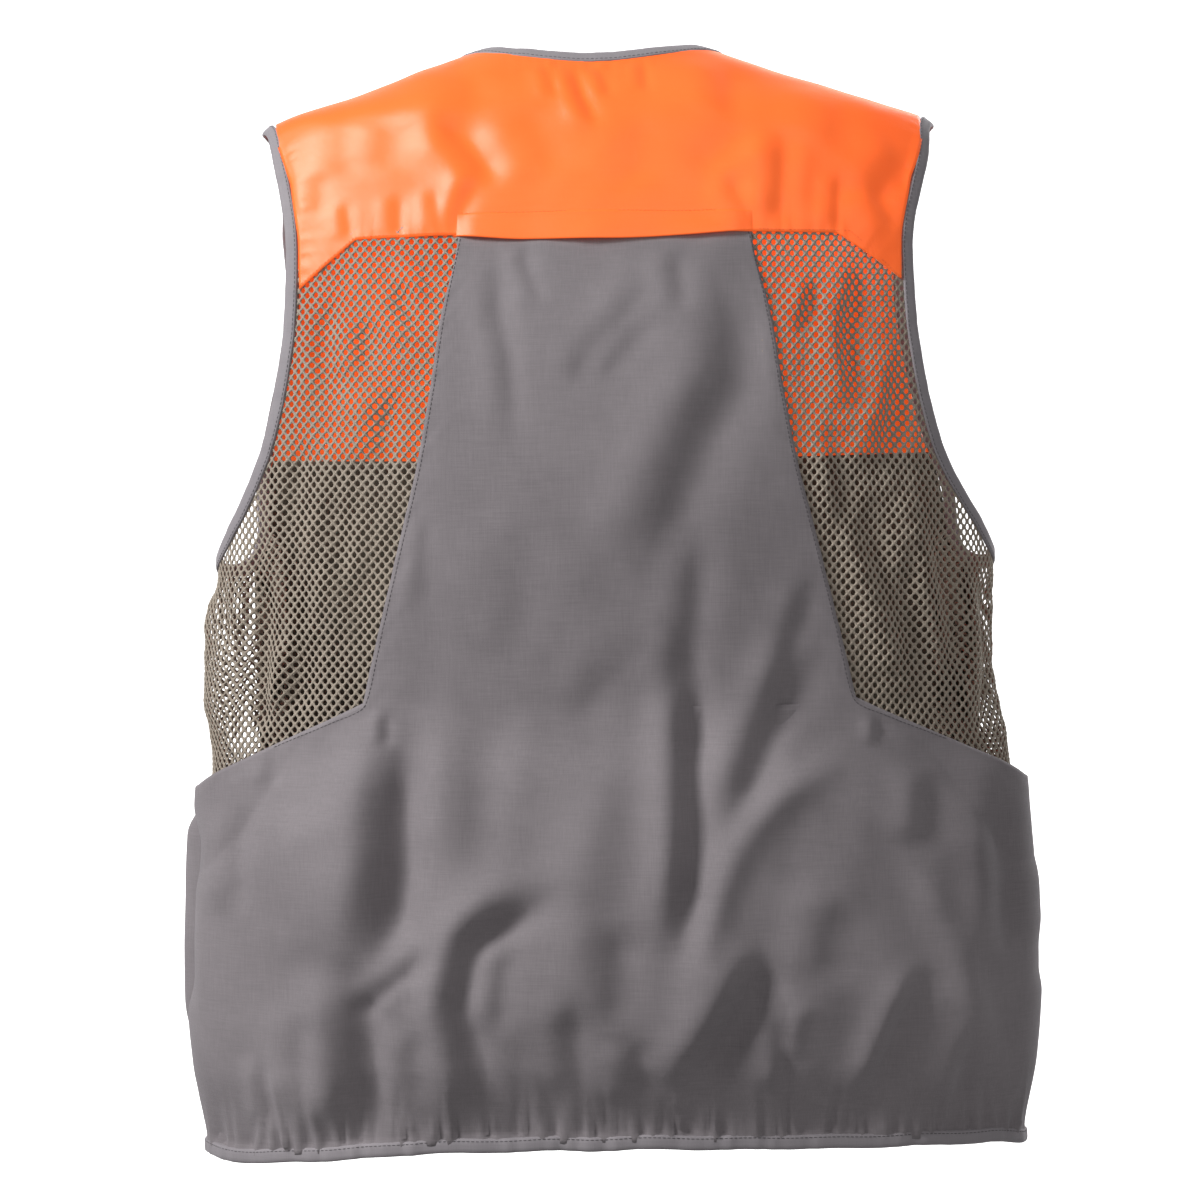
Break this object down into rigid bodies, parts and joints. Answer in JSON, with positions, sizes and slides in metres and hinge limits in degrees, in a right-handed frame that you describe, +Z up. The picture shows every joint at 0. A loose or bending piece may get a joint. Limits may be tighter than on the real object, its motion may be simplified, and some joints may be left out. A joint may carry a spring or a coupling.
{
  "type": "blaze orange hunting vest",
  "caption": "Sleeveless field vest with an orange yoke, net back and sides, a rear game bag, front pockets and a full zip.",
  "frame": {"origin": "middle of the hanger loop's sewn edge, inside the back of the neck", "axes": "+Z up, -Y out of the zipped front, +Y out of the back, +X towards the wearer's left"},
  "size_m": [0.558, 0.2478, 0.72],
  "materials": {
    "orange_cloth": "satin",
    "grey_cloth": "matte",
    "olive_cloth": "matte",
    "net": "matte",
    "binding_tape": "matte",
    "elastic": "matte",
    "zip_tape": "matte",
    "zip_plastic": "satin",
    "zip_metal": "satin",
    "snap_metal": "satin"
  },
  "bodies": {
    "vest": {"back_yoke": "orange_cloth", "front_yoke_left": "orange_cloth", "front_yoke_right": "orange_cloth", "game_bag_outer": "grey_cloth", "game_bag_lining": "grey_cloth", "bag_gusset_left": "grey_cloth", "bag_gusset_right": "grey_cloth", "front_panel_left": "olive_cloth", "front_panel_right": "olive_cloth", "pocket_left": "grey_cloth", "pocket_right": "grey_cloth", "mesh_panel_left": "net", "mesh_panel_right": "net", "neck_binding": "binding_tape", "armhole_binding_left": "binding_tape", "armhole_binding_right": "binding_tape", "hem_binding": "binding_tape", "hanger_loop": "binding_tape", "hem_elastic": "elastic", "zip_tape_left": "zip_tape", "zip_tape_right": "zip_tape", "zip_teeth_left": "zip_plastic", "zip_teeth_right": "zip_plastic", "zip_top_stops": "zip_plastic", "zip_bottom_stop": "zip_plastic", "snap_stud_left": "snap_metal", "snap_stud_right": "snap_metal"},
    "vent_flap": {"vent_flap": "orange_cloth"},
    "zip_slider": {"zip_slider": "zip_metal"},
    "zip_pull": {"zip_pull": "zip_metal"},
    "pocket_flap_left": {"pocket_flap_left": "orange_cloth", "snap_cap_left": "snap_metal"},
    "pocket_flap_right": {"pocket_flap_right": "orange_cloth", "snap_cap_right": "snap_metal"}
  },
  "joints": [
    {"name": "vent_flap_lift", "type": "hinge", "parent": "vest", "child": "vent_flap", "pos_m": [0, 0.042, -0.098], "axis": [1, 0, 0], "range_deg": [0, 40]},
    {"name": "zip_slide", "type": "slide", "parent": "vest", "child": "zip_slider", "axis": [0, 0, -1], "range_m": [0, 0.56]},
    {"name": "zip_pull_swing", "type": "hinge", "parent": "zip_slider", "child": "zip_pull", "pos_m": [0, -0.149, -0.117], "axis": [-1, 0, 0], "range_deg": [0, 150]},
    {"name": "pocket_flap_left_lift", "type": "hinge", "parent": "vest", "child": "pocket_flap_left", "pos_m": [0.1164, -0.13597, -0.4864], "axis": [-0.9823, -0.1874, 0], "range_deg": [0, 85]},
    {"name": "pocket_flap_right_lift", "type": "hinge", "parent": "vest", "child": "pocket_flap_right", "pos_m": [-0.1164, -0.13597, -0.4864], "axis": [-0.9823, 0.1874, 0], "range_deg": [0, 85]}
  ]
}
